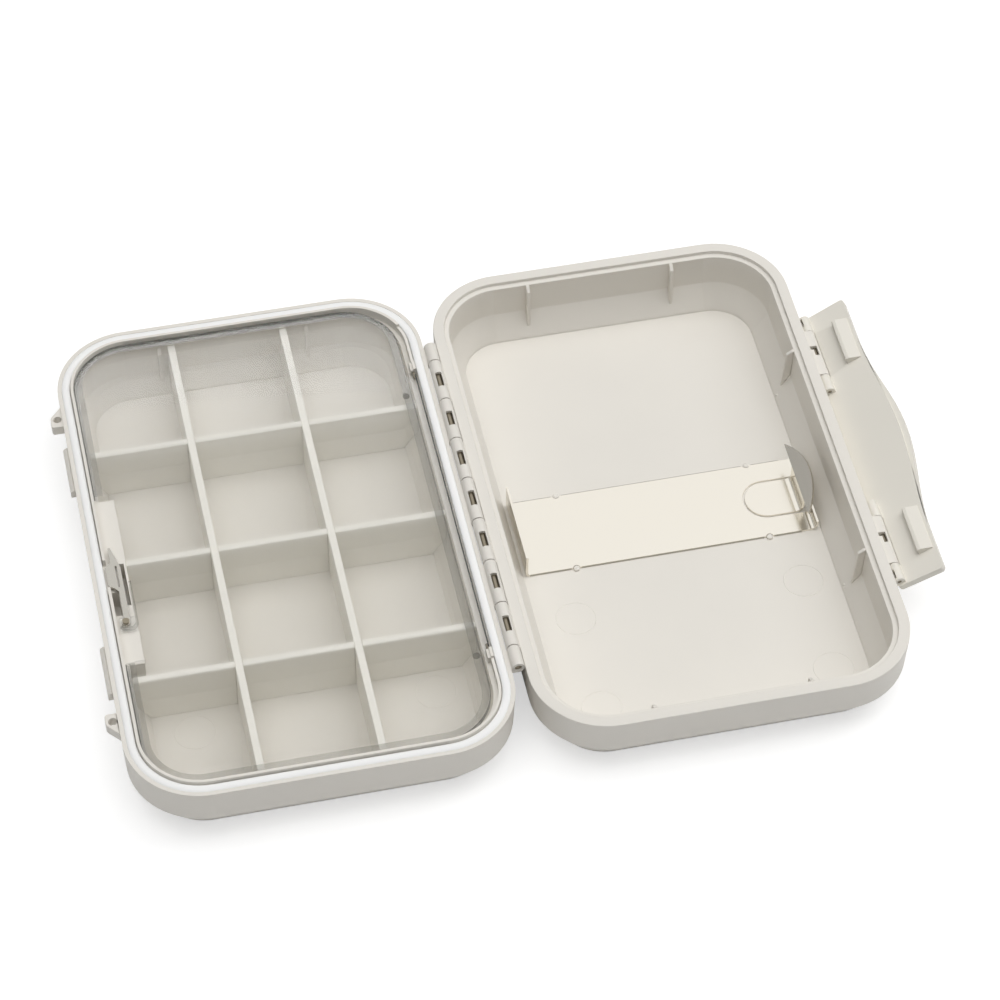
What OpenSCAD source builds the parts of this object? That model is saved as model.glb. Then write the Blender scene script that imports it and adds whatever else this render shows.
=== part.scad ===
// Waterproof fly box, opened flat: a compartment base and a lid of the same outline,
// joined by a full-length knuckle hinge. Units are millimetres, +Z is up.
// Origin: centre of the flat underside of the base. The lid lies towards +X.

/* [Box] */
// Width of each half across the hinge
body_w = 100; // [90:1:120]
// Length of each half along the hinge
body_l = 158.5; // [150:0.5:190]
// Height of the hinge axis, half the closed thickness
half_depth = 20; // [18:0.5:26]
// Plan radius of the outer corners
corner_r = 20; // [16:1:24]
// Thickness of the flat panel of each half
floor_t = 1.8; // [1.5:0.1:2.5]
// Distance from the rim down to the hinge axis plane, so the closed rims stay apart
rim_gap = 0.15; // [0.1:0.05:0.4]
// Height of the edge where the outer wall turns into the bevel
bevel_h = 9.6; // [7:0.2:12]
// Inset of the bevel where it meets the underside
bevel_in = 6.6; // [5:0.2:8]
// Inward draft of the outer wall at the bevel
draft_in = 0.4; // [0.2:0.1:0.8]
// Inset of the inside crease round the flat panel
crease_in = 9.0; // [8.4:0.1:11]
// Step that outlines the flat panel
crease_step = 0.5; // [0.1:0.05:0.5]
// Inset of the lid's inner wall at its top
wall_in = 4.4; // [4.3:0.05:4.8]
// Inset of the lid's inner wall at its foot
wall_foot_in = 4.8; // [4.8:0.1:6]
// Inset of the base's inner wall
ledge_in = 5.5; // [5.3:0.1:6]
// Height of the foot of the lid's inner wall
lid_foot_h = 9.2; // [7:0.2:11]
// Height of the foot of the base's inner wall
base_foot_h = 7.9; // [6:0.2:10]

/* [Rim] */
// Width of the outer land of the base rim
land_w = 1.1; // [0.8:0.1:1.6]
// Width of the seal
seal_w = 2.2; // [1.8:0.1:2.4]
// Height of the seal above the base rim
seal_proud = 0.25; // [0.15:0.05:0.3]
// Depth of the seal channel
channel_d = 1.6; // [1:0.1:2.5]
// Inset of the outer face of the base lip
lip_in = 3.55; // [3.5:0.05:4]
// Thickness of the base lip
lip_t = 0.75; // [0.6:0.05:0.8]
// Height of the base lip above the rim
lip_h = 0.85; // [0.4:0.05:1]
// Width of the flat band of the lid rim
band_w = 3.0; // [2.6:0.05:3.2]
// Depth of the step inside the lid rim that takes the base lip
step_d = 1.1; // [1:0.05:1.3]

/* [Compartments] */
// Thickness of the divider walls
divider_t = 2.0; // [1.2:0.1:3]
// Centre of the left long divider
divider_x1 = -17.2; // [-24:0.2:-12]
// Centre of the right long divider
divider_x2 = 13.8; // [8:0.2:20]
// Spacing of the cross dividers
row_pitch = 38.4; // [34:0.2:42]

/* [Inner lid] */
// Thickness of the clear inner lid
clear_t = 1.6; // [1.2:0.1:2]
// Gap between the clear lid and the lip
clear_gap = 0.45; // [0.15:0.05:0.6]
// Height of the raised field of the clear lid
field_h = 0.25; // [0.1:0.05:0.3]
// Distance of the clear lid's hinge axis from the hinge side of the base
clear_axis_in = 4.25; // [4.2:0.05:4.4]
// Half length of the clear lid's hinge barrel
clear_barrel_l = 48.6; // [44:0.2:52]
// Radius of the clear lid's hinge barrel
clear_barrel_r = 0.8; // [0.7:0.05:0.85]
// Radius of the small steel pins of the clear lid
clear_pin_r = 0.45; // [0.35:0.05:0.5]
// Far end of the finger notch in the clear lid
notch_y1 = 22; // [18:0.5:26]
// Near end of the finger notch in the clear lid
notch_y2 = -34; // [-38:0.5:-30]
// Depth of the finger notch
notch_w = 4.9; // [4.4:0.1:5]

/* [Catch] */
// Length of the steel catch blade from its rivet to the tip
catch_l = 25; // [20:0.5:28]
// Width of the steel catch blade
catch_w = 2.4; // [2:0.1:2.6]
// Width of the springy arm between the rivet and the catch's head
catch_arm_w = 1.5; // [1.2:0.1:1.8]
// Thickness of the steel catch blade
catch_t = 0.7; // [0.5:0.1:0.9]
// Centre of the catch rivet along the box
rivet_y = -20.6; // [-24:0.2:-18]
// Radius of the catch rivet
rivet_r = 0.55; // [0.4:0.05:0.7]
// Projection of the catch nose into the lip
nose_out = 1.5; // [1:0.05:1.6]

/* [Main hinge] */
// Clear space between the two halves
hinge_gap = 3.7; // [3.6:0.1:4.4]
// Radius of the knuckles
knuckle_r = 1.7; // [1.5:0.05:1.75]
// Radius of the steel hinge pin
pin_r = 0.9; // [0.7:0.05:1]
// Length of each of the seven long knuckles with its gap
knuckle_pitch = 14.3; // [13:0.1:15]
// Length of the short end knuckles
end_knuckle_l = 6.4; // [5:0.2:8]
// Gap between neighbouring knuckles
knuckle_gap = 0.3; // [0.2:0.05:0.5]
// Length of the window in each long knuckle
window_l = 5.0; // [4:0.2:8]
// Width of the window in each long knuckle
window_w = 1.7; // [1.2:0.1:2]

/* [Latch] */
// Half length of the latch flap
flap_half_l = 48.0; // [40:0.5:52]
// Thickness of the latch flap
flap_t = 2.0; // [1.6:0.1:2.6]
// Reach of the flap from its hinge axis to its straight edge
flap_reach = 12.1; // [11:0.1:14]
// Extra reach of the bowed finger lip
bow_h = 3.8; // [2:0.2:6]
// Width of the sloping band round the bow
bow_band = 1.5; // [1:0.1:2.5]
// Length of the bowed finger edge
bow_l = 68; // [50:1:72]
// Distance of the latch axis from the lid wall
latch_out = 1.65; // [1.6:0.05:2]
// Distance of the latch axis below the hinge axis plane
latch_drop = 2.6; // [2:0.1:3.2]
// Angle of the flap above horizontal as it lies open
flap_rest = 28.5; // [10:0.5:40]
// Distance of the flap's inner face below its axis
face_drop = 0.9; // [0.6:0.05:1.2]
// Radius of the latch hinge barrels
latch_r = 1.5; // [1.3:0.05:1.55]
// Radius of the latch pins
latch_pin_r = 0.6; // [0.5:0.05:0.8]
// Centre of each latch hinge along the box
latch_y = 33.8; // [30:0.2:36]
// Length of the lid's knuckle in each latch hinge
latch_knuckle_l = 16.2; // [12:0.2:20]
// Length of the flap's ears beside that knuckle
latch_ear_l = 5.7; // [4:0.1:6]
// Length of the two hooks
hook_l = 14.5; // [12:0.5:16]
// Near edge of the hooks, measured from the latch axis
hook_u1 = 7.2; // [6.6:0.1:7.4]
// Width of the hooks
hook_w = 4.0; // [3:0.1:4.4]
// Height of the hooks above the flap's inner face
hook_h = 1.9; // [1.4:0.1:2]
// Projection of the strike ribs on the base wall
strike_out = 1.2; // [1:0.1:1.6]
// Length of the strike ribs
strike_l = 15.4; // [12:0.2:18]
// Distance of the top of the strike ribs below the base rim
strike_top = 1.45; // [1.2:0.05:2]
// Bevel along the top of the strike ribs
strike_bevel = 0.8; // [0.4:0.1:1]
// Clearance between a closed hook and its strike rib
hook_clear = 0.15; // [0.1:0.05:0.3]

/* [Lanyard lugs] */
// Distance of each lug hole from the end of the box
lug_end = 27.75; // [26:0.25:32]
// Radius of the lug holes
lug_hole_r = 1.1; // [0.8:0.1:1.2]
// Projection of the lugs from the wall
lug_out = 3.1; // [2.9:0.1:4]
// Thickness of the lugs
lug_t = 3.0; // [2:0.5:6]

/* [Clip] */
// Width of the steel clip plate
clip_w = 25.2; // [16:0.2:30]
// Sheet thickness of the clip
clip_t = 0.6; // [0.4:0.1:1]
// Distance of the clip from the hinge side of the lid
clip_x = 9.8; // [9.6:0.1:14]
// Distance of the clip's bent prongs from the latch side of the lid
clip_end_x = 9.8; // [9.6:0.1:20]
// Distance of the first pair of studs from the clip's bent end
stud_x1 = 13.8; // [6:0.2:20]
// Distance of the second pair of studs from the clip's prongs
stud_x2 = 13.5; // [6:0.1:20]
// Radius of the moulded studs that locate the clip
stud_r = 0.8; // [0.7:0.1:1.4]
// Offset of the clip along the box
clip_y = -1; // [-10:0.5:10]
// Height of the clip's bent end
clip_lip_h = 7.7; // [4:0.1:10]
// Width of the release tab's tongue
tongue_w = 11.6; // [8:0.2:14]
// Length of the release tab's tongue
tongue_l = 16.9; // [10:0.1:24]
// Gap round the tongue
tongue_gap = 0.7; // [0.4:0.1:1.2]
// Height of the release tab
tab_h = 6.8; // [5:0.1:8]
// Bulge of the D-shaped finger tab
tab_bulge = 4.8; // [3:0.1:6]
// Tilt of the finger tab above horizontal
tab_tilt = 45; // [0:5:60]
// Distance of the tab's riser from the prongs
tab_in = 2.2; // [1:0.1:4]
// Height of the bent prong ends
prong_h = 3.2; // [2.6:0.1:6]

/* [Lid ribs] */
// Thickness of the lid ribs
rib_t = 1.0; // [0.8:0.1:1.6]
// Inset of the free edge of the lid ribs at its top
rib_in = 6.4; // [6:0.1:7]
// Inset of the free edge of the lid ribs at its foot
rib_foot_in = 7.3; // [6.4:0.1:8.4]
// Distance of the end-wall ribs from the middle of the lid
rib_x = 20.5; // [14:0.5:28]
// Distance of the latch-wall ribs from the middle of the lid
rib_y = 35.9; // [28:0.1:48]

/* [Hidden] */
$fn = 48;

rim_z = half_depth - rim_gap;
hinge_x = body_w / 2 + hinge_gap / 2;
lid_x = 2 * hinge_x;
fit = 0.05;
lug_y = body_l / 2 - lug_end;
ledge_z = rim_z - clear_t - field_h - 0.2;
divider_top = ledge_z - 0.3;
seal_z = rim_z - channel_d;
// clear lid
clear_top = ledge_z + fit + clear_t;
clear_edge_in = lip_in + lip_t + clear_gap;
nose_y1 = 12.5;
nose_y2 = 18.7;
pocket_w = 1.4;
pocket_wall = 0.6;
clear_side_x = body_w / 2 - clear_axis_in - 1.95;
clear_r = corner_r - clear_edge_in;
field_in = 2.2;
clear_axis_x = body_w / 2 - clear_axis_in;
clear_axis_z = clear_top - 0.4;
pin_boss_l = 3;
pad_in = clear_edge_in + notch_w - 0.15;
catch_in = clear_edge_in + 0.7;
lip_end_y = body_l / 2 - corner_r + 6.5;
// latch
latch_x = lid_x + body_w / 2 + latch_out;
latch_z = half_depth - latch_drop;
latch_span = latch_knuckle_l + 2 * latch_ear_l;
hook_y = latch_y + 0.5;
strike_z2 = rim_z - strike_top;
strike_z1 = half_depth + latch_drop - hook_u1 + hook_clear;
// clip
clip_x0 = lid_x - body_w / 2 + clip_x;
clip_x1 = lid_x + body_w / 2 - clip_end_x;
clip_z = floor_t;
bend_r = 0.9;
tab_bend_r = 2.2;

// Sweeps a wall section round the outline. The section's x is the inset from the outer face.
module outline_sweep(w, l, r) {
    for (c = [[1, 1, 0], [-1, 1, 90], [-1, -1, 180], [1, -1, 270]])
        translate([c[0] * (w / 2 - r), c[1] * (l / 2 - r), 0])
            rotate([0, 0, c[2]])
                rotate_extrude(angle = 90)
                    translate([r, 0]) mirror([1, 0]) children();
    for (a = [0, 180]) {
        rotate([0, 0, a]) translate([w / 2, l / 2 - r, 0]) rotate([90, 0, 0])
            linear_extrude(l - 2 * r) mirror([1, 0]) children();
        rotate([0, 0, a + 90]) translate([l / 2, w / 2 - r, 0]) rotate([90, 0, 0])
            linear_extrude(w - 2 * r) mirror([1, 0]) children();
    }
}

// Flat rounded rectangle, inset from the outline of a half
module outline_plate(inset, r, h) {
    linear_extrude(h) rounded_rect(body_w - 2 * inset, body_l - 2 * inset, r);
}

module rounded_rect(w, l, r) {
    square([w - 2 * r, l], center = true);
    square([w, l - 2 * r], center = true);
    for (x = [-1, 1], y = [-1, 1]) translate([x * (w / 2 - r), y * (l / 2 - r)]) circle(r);
}

// Rounded bar along Y, used for knuckles and barrels
module barrel(r, y1, y2) {
    translate([0, y2, 0]) rotate([90, 0, 0]) cylinder(r = r, h = y2 - y1);
}

// Section of the base wall: outer face, bevel, panel edge, inner bevel, ledge, lip and channel
module base_section() {
    polygon([[0, rim_z], [0, rim_z - 1], [draft_in, bevel_h], [bevel_in, 0], [crease_in + 0.4, 0],
        [crease_in + 0.4, floor_t], [crease_in, floor_t], [crease_in, floor_t + crease_step],
        [ledge_in, base_foot_h], [ledge_in, ledge_z], [lip_in + lip_t, ledge_z],
        [lip_in + lip_t, rim_z + lip_h], [lip_in, rim_z + lip_h], [lip_in, seal_z],
        [land_w, seal_z], [land_w, rim_z]]);
}

// Section of the lid wall: as the base, with a flat rim and a step down for the base lip
module lid_section() {
    polygon([[0, rim_z], [0, rim_z - 1], [draft_in, bevel_h], [bevel_in, 0], [crease_in + 0.4, 0],
        [crease_in + 0.4, floor_t], [crease_in, floor_t], [crease_in, floor_t + crease_step],
        [wall_foot_in, lid_foot_h], [wall_in, rim_z - step_d], [band_w, rim_z - step_d],
        [band_w, rim_z]]);
}

module base_shell() {
    color("#E2DFD4") difference() {
        union() {
            outline_sweep(body_w, body_l, corner_r) base_section();
            outline_plate(crease_in, corner_r - crease_in, floor_t);
            catch_pad();
            for (s = [-1, 1]) clear_pin_boss(s);
        }
        clear_hinge_pocket();
        catch_slot();
        catch_pocket();
    }
}

// Block on the latch side that carries the catch and closes the finger notch from below
module catch_pad() {
    translate([-body_w / 2, notch_y1 - 0.3, 0]) rotate([90, 0, 0])
        linear_extrude(notch_y1 - notch_y2 - 0.6)
            polygon([[ledge_in - 0.5, base_foot_h - 0.3],
                [pad_in, bevel_z(pad_in, ledge_in, base_foot_h) - 0.3],
                [pad_in, ledge_z], [ledge_in - 0.5, ledge_z]]);
}

// Height of the inner bevel at an inset, where the wall's foot is at inset wall and height foot
function bevel_z(inset, wall, foot) = foot
    - (foot - floor_t - crease_step) * (inset - wall) / (crease_in - wall);

// Removes the lip where the barrel of the clear lid turns, and its top along the hinge side
module clear_hinge_pocket() {
    r = clear_barrel_r + 0.15;
    y1 = clear_barrel_l + 0.2 + pin_boss_l;
    for (y = [y1, -lip_end_y]) translate([body_w / 2 - lip_in - lip_t - 1.7, y, rim_z])
        cube([lip_t + 1.8, lip_end_y - y1, lip_h + 1]);
    translate([clear_axis_x - r, -clear_barrel_l - 0.2, ledge_z])
        cube([2 * r, 2 * clear_barrel_l + 0.4, lip_h + 5]);
    for (s = [-1, 1]) translate([clear_axis_x, 0, clear_axis_z])
        barrel(clear_pin_r + fit, min(s * clear_barrel_l, s * (clear_barrel_l + pin_boss_l - 0.4)),
            max(s * clear_barrel_l, s * (clear_barrel_l + pin_boss_l - 0.4)));
}

// Bearing block at one end of the clear lid's hinge
module clear_pin_boss(s) {
    y1 = clear_barrel_l + 0.2;
    translate([clear_axis_x - clear_barrel_r, s > 0 ? y1 : -y1 - pin_boss_l, ledge_z])
        cube([body_w / 2 - lip_in - clear_axis_x + clear_barrel_r, pin_boss_l, rim_z - ledge_z + 0.2]);
}

// Open notch in the lip that the catch nose drops into
module catch_slot() {
    translate([-body_w / 2 + lip_in - 0.05, rivet_y + nose_y1 - 1.4, ledge_z + 0.4])
        cube([lip_t + 0.1, nose_y2 - nose_y1 + 2.8, lip_h + 4]);
}

// Two deep pockets in the pad: one beside the catch and one under the bare side of its arm
module catch_pocket() {
    translate([-body_w / 2 + pad_in - pocket_wall - pocket_w, rivet_y + 6.4, ledge_z - 6])
        cube([pocket_w, 14, 8]);
    lip_back = lip_in + lip_t + 0.2;
    translate([-body_w / 2 + lip_back, rivet_y + 3.4, ledge_z - 6])
        cube([catch_in + catch_w - catch_arm_w - 0.1 - lip_back, nose_y1 - 4.6, 8]);
}

module long_dividers() {
    color("#D9D5C8") for (x = [divider_x1, divider_x2]) translate([x, 0, 0])
        divider_wall(body_l - 2 * ledge_in);
}

// One wall from end to end: it follows the floor bevel and has a rounded top edge
module divider_wall(l) {
    e = crease_in - ledge_in;
    rotate([90, 0, 90]) translate([0, 0, -divider_t / 2]) linear_extrude(divider_t)
        polygon([[-l / 2, base_foot_h], [-l / 2 + e, floor_t + crease_step], [-l / 2 + e, floor_t],
            [l / 2 - e, floor_t], [l / 2 - e, floor_t + crease_step], [l / 2, base_foot_h],
            [l / 2, divider_top], [-l / 2, divider_top]]);
}

module cross_dividers() {
    color("#D9D5C8") difference() {
        for (i = [-1, 0, 1]) translate([0, i * row_pitch, 0]) rotate([0, 0, 90])
            divider_wall(body_w - 2 * ledge_in);
        for (x = [divider_x1, divider_x2]) translate([x - divider_t / 2, -body_l / 2, 0])
            cube([divider_t, body_l, half_depth]);
        translate([-body_w / 2, notch_y2 + 0.3, 0])
            cube([pad_in, notch_y1 - notch_y2 - 0.6, half_depth]);
    }
}

// Eyelet for a lanyard: flat on the middle side, slanted on the end side
module lanyard_lug(s) {
    z2 = rim_z - 0.55;
    wall = body_w / 2 - 0.3;
    color("#E2DFD4") difference() {
        translate([0, 0, z2 - lug_t]) linear_extrude(lug_t) mirror([0, s < 0 ? 1 : 0])
            polygon([[-wall, lug_y - 2.6], [-wall - lug_out + 0.3, lug_y - 2.6],
                [-wall - lug_out - 0.1, lug_y - 2.4], [-wall - lug_out - 0.3, lug_y - 2],
                [-wall - lug_out - 0.3, lug_y + 0.6], [-wall - lug_out, lug_y + 1.2],
                [-wall, lug_y + 4.6]]);
        lug_bore(s);
        outer_body(0);
    }
}

module lug_bore(s) {
    translate([-body_w / 2 - 1.3, s * lug_y, 0]) cylinder(r = lug_hole_r, h = half_depth + 2);
}

// Outer form of a half, without its hollow, for trimming what is moulded on to the wall
module outer_body(dx) {
    translate([dx, 0, 0]) {
        outline_sweep(body_w, body_l, corner_r)
            polygon([[0, rim_z], [0, rim_z - 1], [draft_in, bevel_h], [bevel_in, 0],
                [crease_in + 0.4, 0], [crease_in + 0.4, rim_z]]);
    }
}

module lanyard_lug_far() lanyard_lug(1);
module lanyard_lug_near() lanyard_lug(-1);

// Two ribs under the rim that the latch hooks snap beneath
module latch_strikes() {
    wall = body_w / 2;
    color("#E2DFD4") difference() {
        for (s = [-1, 1]) translate([0, s * hook_y + strike_l / 2, 0]) rotate([90, 0, 0])
            linear_extrude(strike_l)
                polygon([[-wall + 1, strike_z1], [-wall - strike_out, strike_z1],
                    [-wall - strike_out, strike_z2 - strike_bevel],
                    [-wall - strike_out + strike_bevel, strike_z2],
                    [-wall + 1, strike_z2]]);
        outer_body(0);
    }
}

// Knuckle on the main axis with its web to one side; side -1 is the base, 1 is the lid
module knuckle(side, y1, y2, slot) {
    difference() {
        union() {
            barrel(knuckle_r, y1, y2);
            translate([side > 0 ? 0 : -hinge_gap / 2 - 0.05, y1, -knuckle_r])
                cube([hinge_gap / 2 + 0.05, y2 - y1, knuckle_r - rim_gap]);
        }
        barrel(pin_r + fit, y1 - 1, y2 + 1);
        if (slot) translate([-window_w / 2, (y1 + y2) / 2 - window_l / 2, 0])
            cube([window_w, window_l, knuckle_r + 1]);
    }
}

function knuckle_y(i) = (i - 3.5) * knuckle_pitch;

module base_knuckles() {
    y_end = knuckle_y(7) + end_knuckle_l;
    color("#E2DFD4") difference() {
        translate([hinge_x, 0, half_depth]) {
            for (i = [1, 3, 5])
                knuckle(-1, knuckle_y(i) + knuckle_gap / 2, knuckle_y(i + 1) - knuckle_gap / 2, true);
            knuckle(-1, knuckle_y(7) + knuckle_gap / 2, y_end, false);
            knuckle(-1, -y_end, knuckle_y(0) - knuckle_gap / 2, false);
        }
        outer_body(0);
    }
}

module lid_knuckles() {
    color("#E2DFD4") difference() {
        translate([hinge_x, 0, half_depth])
            for (i = [0, 2, 4, 6])
                knuckle(1, knuckle_y(i) + knuckle_gap / 2, knuckle_y(i + 1) - knuckle_gap / 2, true);
        outer_body(lid_x);
    }
}

module main_hinge_pin() {
    y_end = knuckle_y(7) + end_knuckle_l - 0.4;
    color("#B8BABC") translate([hinge_x, 0, half_depth]) barrel(pin_r, -y_end, y_end);
}

// Seal ring with a rounded crown, seated in the channel of the base rim
module rim_seal() {
    crown = seal_w / 2;
    flat_h = channel_d + seal_proud - 0.5;
    color("#F2F2F0") outline_sweep(body_w, body_l, corner_r) translate([land_w, seal_z])
        polygon(concat([[0, 0], [0, flat_h]],
            [for (a = [165 : -15 : 15]) [crown + crown * cos(a), flat_h + 0.5 * sin(a)]],
            [[seal_w, flat_h], [seal_w, 0]]));
}

module inner_lid() {
    side_w = body_w / 2 - clear_edge_in + clear_side_x;
    side_c = (clear_side_x - body_w / 2 + clear_edge_in) / 2;
    z0 = ledge_z + fit;
    color("#8E9496", 0.45) difference() {
        union() {
            translate([side_c, 0, z0]) linear_extrude(clear_t)
                rounded_rect(side_w, body_l - 2 * clear_edge_in, clear_r);
            translate([side_c, 0, z0]) linear_extrude(clear_t + field_h)
                rounded_rect(side_w - 2 * field_in, body_l - 2 * clear_edge_in - 2 * field_in,
                    clear_r - field_in - 1);
            translate([clear_side_x - 1, -clear_barrel_l, z0 + 0.4])
                cube([clear_axis_x - clear_side_x + 1, 2 * clear_barrel_l, clear_t - 0.4]);
            translate([clear_axis_x, 0, clear_axis_z])
                barrel(clear_barrel_r, -clear_barrel_l, clear_barrel_l);
        }
        finger_notch();
        for (s = [-1, 1]) translate([clear_axis_x, 0, clear_axis_z])
            barrel(clear_pin_r, min(s * (clear_barrel_l - 2), s * (clear_barrel_l + 1)),
                max(s * (clear_barrel_l - 2), s * (clear_barrel_l + 1)));
        rivet_hole();
    }
}

// Cut-out for a fingertip over the catch, with a tongue left for the rivet
module finger_notch() {
    x0 = -body_w / 2 + clear_edge_in;
    difference() {
        translate([x0 - 1, notch_y2, ledge_z - 1]) cube([notch_w + 1, notch_y1 - notch_y2, clear_t + 3]);
        translate([x0 + 0.2, rivet_y - 2.4, ledge_z - 2]) cube([notch_w + 1, 4.4, clear_t + 5]);
    }
    translate([x0 - 1, rivet_y - 6, ledge_z + 0.9]) cube([notch_w + 1, 12, clear_t + 3]);
}

module rivet_hole() {
    translate([catch_x(), rivet_y, 0]) cylinder(r = rivet_r, h = half_depth + 2);
}

function catch_x() = -body_w / 2 + catch_in + catch_w / 2;
function catch_z() = ledge_z + 0.95;

module inner_lid_pins() {
    color("#B8BABC") for (s = [-1, 1]) translate([clear_axis_x, 0, clear_axis_z])
        barrel(clear_pin_r, min(s * (clear_barrel_l - 2), s * (clear_barrel_l + 2.2)),
            max(s * (clear_barrel_l - 2), s * (clear_barrel_l + 2.2)));
}

// Steel blade: an eye at the rivet, a springy arm, and a pointed head whose nose drops into the lip
module inner_lid_catch() {
    x = catch_x();
    arm_x = catch_w / 2 - catch_arm_w;
    color("#C9CBCD") translate([x, rivet_y, catch_z()]) difference() {
        linear_extrude(catch_t) difference() {
            union() {
                circle(catch_w / 2);
                polygon([[arm_x, 0], [catch_w / 2, 0], [catch_w / 2, catch_l - 7],
                    [-catch_w / 2 + 0.6, catch_l], [-catch_w / 2, catch_l],
                    [-catch_w / 2, nose_y2 + 1.2], [-catch_w / 2 - nose_out, nose_y2],
                    [-catch_w / 2 - nose_out, nose_y1], [-catch_w / 2, nose_y1 - 1.2],
                    [arm_x, nose_y1 - 2.4]]);
            }
            circle(rivet_r + fit);
            blade_slot(0.25, nose_y1 - 1, nose_y2);
        }
    }
}

// Round-ended slot along the blade, r wide to each side, between two distances from the rivet
module blade_slot(r, y1, y2) {
    translate([0, y1 + r]) circle(r);
    translate([0, y2 - r]) circle(r);
    translate([-r, y1 + r]) square([2 * r, y2 - y1 - 2 * r]);
}

module catch_rivet() {
    color("#B8BABC") translate([catch_x(), rivet_y, 0]) {
        translate([0, 0, ledge_z + fit + 0.1])
            cylinder(r = rivet_r, h = catch_z() + catch_t - ledge_z - 0.1);
        translate([0, 0, catch_z() + catch_t + fit]) cylinder(r = rivet_r + 0.35, h = 0.3);
    }
}

module lid_shell() {
    color("#E2DFD4") translate([lid_x, 0, 0]) {
        outline_sweep(body_w, body_l, corner_r) lid_section();
        outline_plate(crease_in, corner_r - crease_in, floor_t);
    }
}

// Fins inside the lid that hold the edge of an insert
module lid_ribs() {
    color("#DAD6CA") translate([lid_x, 0, 0]) {
        for (s = [-1, 1], x = [-rib_x, rib_x])
            translate([x, s * body_l / 2, 0]) rotate([0, 0, s < 0 ? 90 : -90]) rib();
        for (y = [-rib_y, rib_y]) translate([body_w / 2, y, 0]) rotate([0, 0, 180]) rib();
    }
}

// One fin, drawn from an outer face at x = 0 inwards
module rib() {
    translate([0, rib_t / 2, 0]) rotate([90, 0, 0]) linear_extrude(rib_t)
        polygon([[wall_foot_in, lid_foot_h], [rib_foot_in, bevel_z(rib_foot_in, wall_foot_in, lid_foot_h)],
            [rib_in, rim_z - step_d - 1.2], [wall_in + 0.4, rim_z - step_d], [wall_in, rim_z - step_d]]);
}

// Bearing blocks on the lid wall for the latch pins
module latch_knuckles() {
    h = latch_knuckle_l / 2;
    color("#E2DFD4") difference() {
        for (s = [-1, 1]) translate([latch_x, s * latch_y, latch_z]) difference() {
            union() {
                barrel(latch_r, -h, h);
                translate([-latch_out - 1, -h, -latch_r]) cube([latch_out + 1.5, 2 * h, 2 * latch_r]);
            }
            barrel(latch_pin_r + fit, -h - 1, h + 1);
            translate([-0.6, -1, 0]) cube([1.1, 3.4, latch_r + 1]);
            translate([-latch_out + 0.2, 1.2, 0]) cube([latch_out, 1.2, latch_r + 1]);
        }
        outer_body(lid_x);
    }
}

module latch_pin(s) {
    l = latch_span / 2 - 0.4;
    color("#B8BABC") translate([latch_x, s * latch_y, latch_z]) barrel(latch_pin_r, -l, l);
}

module latch_pin_far() latch_pin(1);
module latch_pin_near() latch_pin(-1);

// The flap lies open at its rest angle; its own x runs outwards from the latch axis
module latch_flap() {
    color("#DDD9CD") translate([latch_x, 0, latch_z]) rotate([0, -flap_rest, 0]) difference() {
        union() {
            translate([0, 0, -face_drop - flap_t]) linear_extrude(flap_t) flap_outline();
            finger_lip();
            flap_root();
            for (s = [-1, 1], e = [-1, 1]) {
                c = s * latch_y + e * (latch_knuckle_l + latch_ear_l) / 2;
                flap_ear(c - latch_ear_l / 2 + 0.1, c + latch_ear_l / 2 - 0.1);
            }
            for (s = [-1, 1]) along_y(s * hook_y, hook_l) hook_section();
        }
        for (s = [-1, 1]) translate([0, s * latch_y, 0])
            barrel(latch_pin_r + fit, -latch_span / 2 - 1, latch_span / 2 + 1);
        for (s = [-1, 1]) translate([0, s * latch_y, 0])
            barrel(latch_r + 0.25, -latch_knuckle_l / 2 - 0.15, latch_knuckle_l / 2 + 0.15);
        for (s = [-1, 1]) translate([-1, s * (latch_y + 11.6) - 1.4, 0]) cube([0.9, 2.8, latch_r + 1]);
    }
}

// Draws a section in the flap's own x and z, centred on y
module along_y(y, l) {
    translate([0, y + l / 2, 0]) rotate([90, 0, 0]) linear_extrude(l) children();
}

// Ear of the flap round the pin, joined to the plate below
module flap_ear(y1, y2) {
    barrel(latch_r, y1, y2);
    translate([-latch_r * 0.6, y1, -face_drop - 0.2]) cube([latch_r * 1.6, y2 - y1, face_drop + 0.2]);
}

// Root of the flap between the two latch hinges, drawn out close to the lid wall
module flap_root() {
    along_y(0, 2 * (latch_y - latch_span / 2))
        translate([-1.3, -face_drop - flap_t]) square([1.8, flap_t]);
}

// Plan of the flap: flared ends with rounded corners
module flap_outline() {
    c = 1.2;
    polygon([[-0.9, -flap_half_l + 0.5], [-0.4, -flap_half_l], [flap_reach - c, -flap_half_l - 0.6],
        [flap_reach - c, flap_half_l + 0.6], [-0.4, flap_half_l], [-0.9, flap_half_l - 0.5]]);
    translate([flap_reach - c - 0.01, -flap_half_l - 0.6 + c])
        square([c + 0.01, 2 * (flap_half_l + 0.6 - c)]);
    for (s = [-1, 1]) translate([flap_reach - c, s * (flap_half_l + 0.6 - c)]) circle(c);
}

// Finger lip: swells smoothly out of the straight edge, with a lower sloping band round its rim
module finger_lip() {
    translate([0, 0, -face_drop - flap_t]) linear_extrude(flap_t) bow_outline(bow_h - bow_band);
    intersection() {
        translate([0, 0, -face_drop - flap_t]) linear_extrude(flap_t) bow_outline(bow_h);
        along_y(0, bow_l) polygon([[flap_reach - 1, -face_drop], [flap_reach - 0.3, -face_drop],
            [flap_reach + bow_h + 1, -face_drop - 0.7], [flap_reach + bow_h + 1, -face_drop - flap_t],
            [flap_reach - 1, -face_drop - flap_t]]);
    }
}

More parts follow.
